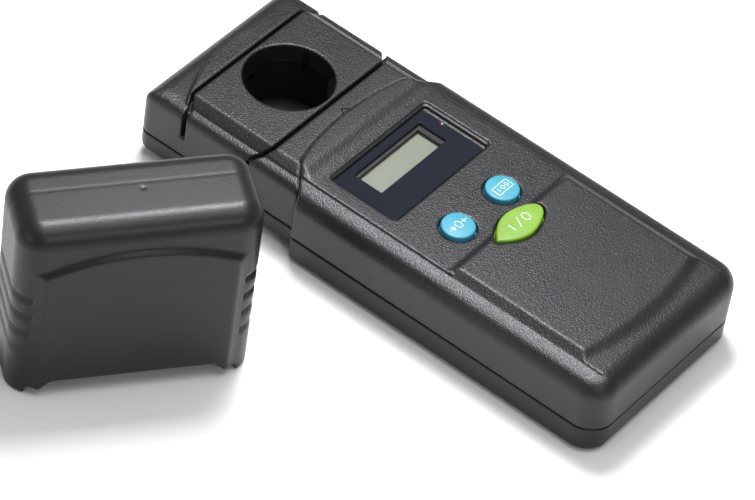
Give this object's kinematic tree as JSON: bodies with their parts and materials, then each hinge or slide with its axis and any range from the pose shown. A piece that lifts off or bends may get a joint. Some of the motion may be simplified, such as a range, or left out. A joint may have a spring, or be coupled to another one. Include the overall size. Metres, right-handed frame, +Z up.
{
  "type": "pocket water quality meter",
  "caption": "Hand-held water quality meter with a vial well, display window and push keys, and its grip-ribbed light cap standing beside it.",
  "frame": {"origin": "centre of the meter's flat underside", "axes": "+Z up out of the keypad face, +Y from the foot end towards the head end with the vial well, +X to the right edge seen from the foot"},
  "size_m": [0.1593, 0.1674, 0.0615],
  "materials": {
    "case_top": "fine spark texture",
    "case_base": "fine spark texture",
    "cap": "fine spark texture",
    "holder": "satin black",
    "blue_key": "satin",
    "green_key": "satin",
    "window": "gloss",
    "lcd": "satin",
    "black_plastic": "matte",
    "board": "solder mask",
    "steel": "bright",
    "nickel": "plated",
    "seal": "matte",
    "chip": "matte",
    "cell": "sleeved",
    "diode": "clear",
    "filter": "polished",
    "strip": "matte"
  },
  "bodies": {
    "meter": {"top_shell": "case_top", "bottom_shell": "case_base", "case_seal": "seal", "window_lens": "window", "lcd_frame": "black_plastic", "lcd_glass": "lcd", "lcd_connector_strip": "strip", "main_board": "board", "main_chip": "chip", "zero_switch": "black_plastic", "read_switch": "black_plastic", "power_switch": "black_plastic", "cell_holder": "holder", "vial_spring": "steel", "led_holder": "holder", "led": "diode", "led_board": "board", "detector_holder": "holder", "optical_filter": "filter", "photodiode": "diode", "detector_board": "board", "sensor_cable": "seal", "battery_1": "cell", "battery_2": "cell", "battery_3": "cell", "battery_4": "cell", "battery_spring_1": "nickel", "battery_spring_2": "nickel", "battery_spring_3": "nickel", "battery_spring_4": "nickel", "foot_contact_left": "nickel", "foot_contact_right": "nickel", "head_contact_middle": "nickel", "head_contact_plus": "nickel", "head_contact_minus": "nickel", "case_screw_1": "steel", "case_screw_2": "steel", "case_screw_3": "steel", "case_screw_4": "steel", "board_screw_1": "steel", "board_screw_2": "steel", "board_screw_3": "steel", "board_screw_4": "steel"},
    "zero_key": {"zero_button": "blue_key"},
    "read_key": {"read_button": "blue_key"},
    "power_key": {"power_button": "green_key"},
    "door": {"battery_door": "case_base"},
    "light_cap": {"cap": "cap"}
  },
  "joints": [
    {"name": "zero_press", "type": "slide", "parent": "meter", "child": "zero_key", "axis": [0, 0, -1], "range_m": [0, 0.0008], "stiffness_N_per_m": 800},
    {"name": "read_press", "type": "slide", "parent": "meter", "child": "read_key", "axis": [0, 0, -1], "range_m": [0, 0.0008], "stiffness_N_per_m": 800},
    {"name": "power_press", "type": "slide", "parent": "meter", "child": "power_key", "axis": [0, 0, -1], "range_m": [0, 0.0008], "stiffness_N_per_m": 800},
    {"name": "door_lift", "type": "slide", "parent": "meter", "child": "door", "axis": [0, 0, -1], "range_m": [0, 0.02]},
    {"name": "cap_lift", "type": "slide", "parent": "meter", "child": "light_cap", "axis": [0, 0, 1], "range_m": [0, 0.07]}
  ]
}
